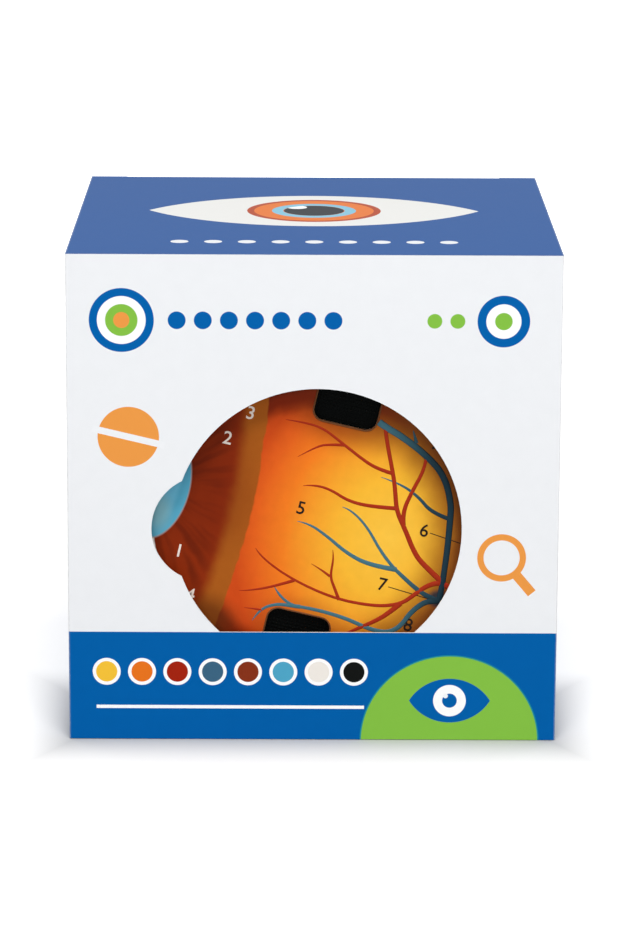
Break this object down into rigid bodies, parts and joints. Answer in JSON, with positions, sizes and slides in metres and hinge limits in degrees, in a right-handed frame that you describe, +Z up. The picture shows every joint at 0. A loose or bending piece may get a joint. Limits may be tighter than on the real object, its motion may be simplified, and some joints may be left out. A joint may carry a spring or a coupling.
{
  "type": "eye anatomy model",
  "caption": "Soft foam eye anatomy model in two halves, with a printed cut face, carried on a board insert in a windowed tuck-lid carton.",
  "frame": {"origin": "middle of the carton's base, on the surface it stands on", "axes": "+Z up, -Y out of the window, +X to the right as the window is looked at"},
  "size_m": [0.16, 0.16, 0.162],
  "materials": {
    "printed_board": "printed, satin varnish",
    "plain_board": "uncoated back of the board",
    "insert_board": "uncoated",
    "white_foam": "soft integral-skin foam, matt",
    "printed_face": "printed film, satin",
    "hook_pad": "black hook tape",
    "loop_pad": "black loop tape"
  },
  "bodies": {
    "carton": {"front_panel": "printed_board", "rear_panel": "printed_board", "left_panel": "printed_board", "right_panel": "printed_board", "glue_flap": "plain_board", "bottom_front_flap": "printed_board", "bottom_rear_flap": "printed_board", "bottom_left_flap": "plain_board", "bottom_right_flap": "plain_board", "insert_deck": "insert_board", "insert_front_leg": "insert_board", "insert_rear_leg": "insert_board", "insert_left_leg": "insert_board", "insert_right_leg": "insert_board"},
    "lid": {"lid_panel": "printed_board"},
    "tuck_flap": {"lid_tuck_flap": "printed_board"},
    "left_flap": {"left_dust_flap": "plain_board"},
    "right_flap": {"right_dust_flap": "plain_board"},
    "labelled_half": {"labelled_half_foam": "white_foam", "labelled_half_print": "printed_face", "upper_hook_pad": "hook_pad", "lower_hook_pad": "hook_pad"},
    "plain_half": {"plain_half_foam": "white_foam", "plain_half_print": "printed_face", "upper_loop_pad": "loop_pad", "lower_loop_pad": "loop_pad"}
  },
  "joints": [
    {"name": "lid_hinge", "type": "hinge", "parent": "carton", "child": "lid", "pos_m": [0, -0.08, 0.162], "axis": [1, 0, 0], "range_deg": [0, 255]},
    {"name": "tuck_fold", "type": "hinge", "parent": "lid", "child": "tuck_flap", "pos_m": [0, 0.0791, 0.162], "axis": [1, 0, 0], "range_deg": [0, 31]},
    {"name": "left_flap_fold", "type": "hinge", "parent": "carton", "child": "left_flap", "pos_m": [-0.08, 0, 0.1612], "axis": [0, -1, 0], "range_deg": [0, 128]},
    {"name": "right_flap_fold", "type": "hinge", "parent": "carton", "child": "right_flap", "pos_m": [0.08, 0, 0.1612], "axis": [0, 1, 0], "range_deg": [0, 128]},
    {"name": "labelled_half_lift", "type": "slide", "parent": "carton", "child": "labelled_half", "axis": [0, 0, 1], "range_m": [0, 0.149]},
    {"name": "plain_half_lift", "type": "slide", "parent": "carton", "child": "plain_half", "axis": [0, 0, 1], "range_m": [0, 0.149]}
  ],
  "couplings": [
    {"joint": "tuck_fold", "follows": "lid_hinge", "ratio": 0.12},
    {"joint": "left_flap_fold", "follows": "lid_hinge", "ratio": 0.5},
    {"joint": "right_flap_fold", "follows": "lid_hinge", "ratio": 0.5},
    {"joint": "labelled_half_lift", "follows": "lid_hinge", "m_per_rad": 0.033254},
    {"joint": "plain_half_lift", "follows": "lid_hinge", "m_per_rad": 0.033254}
  ]
}
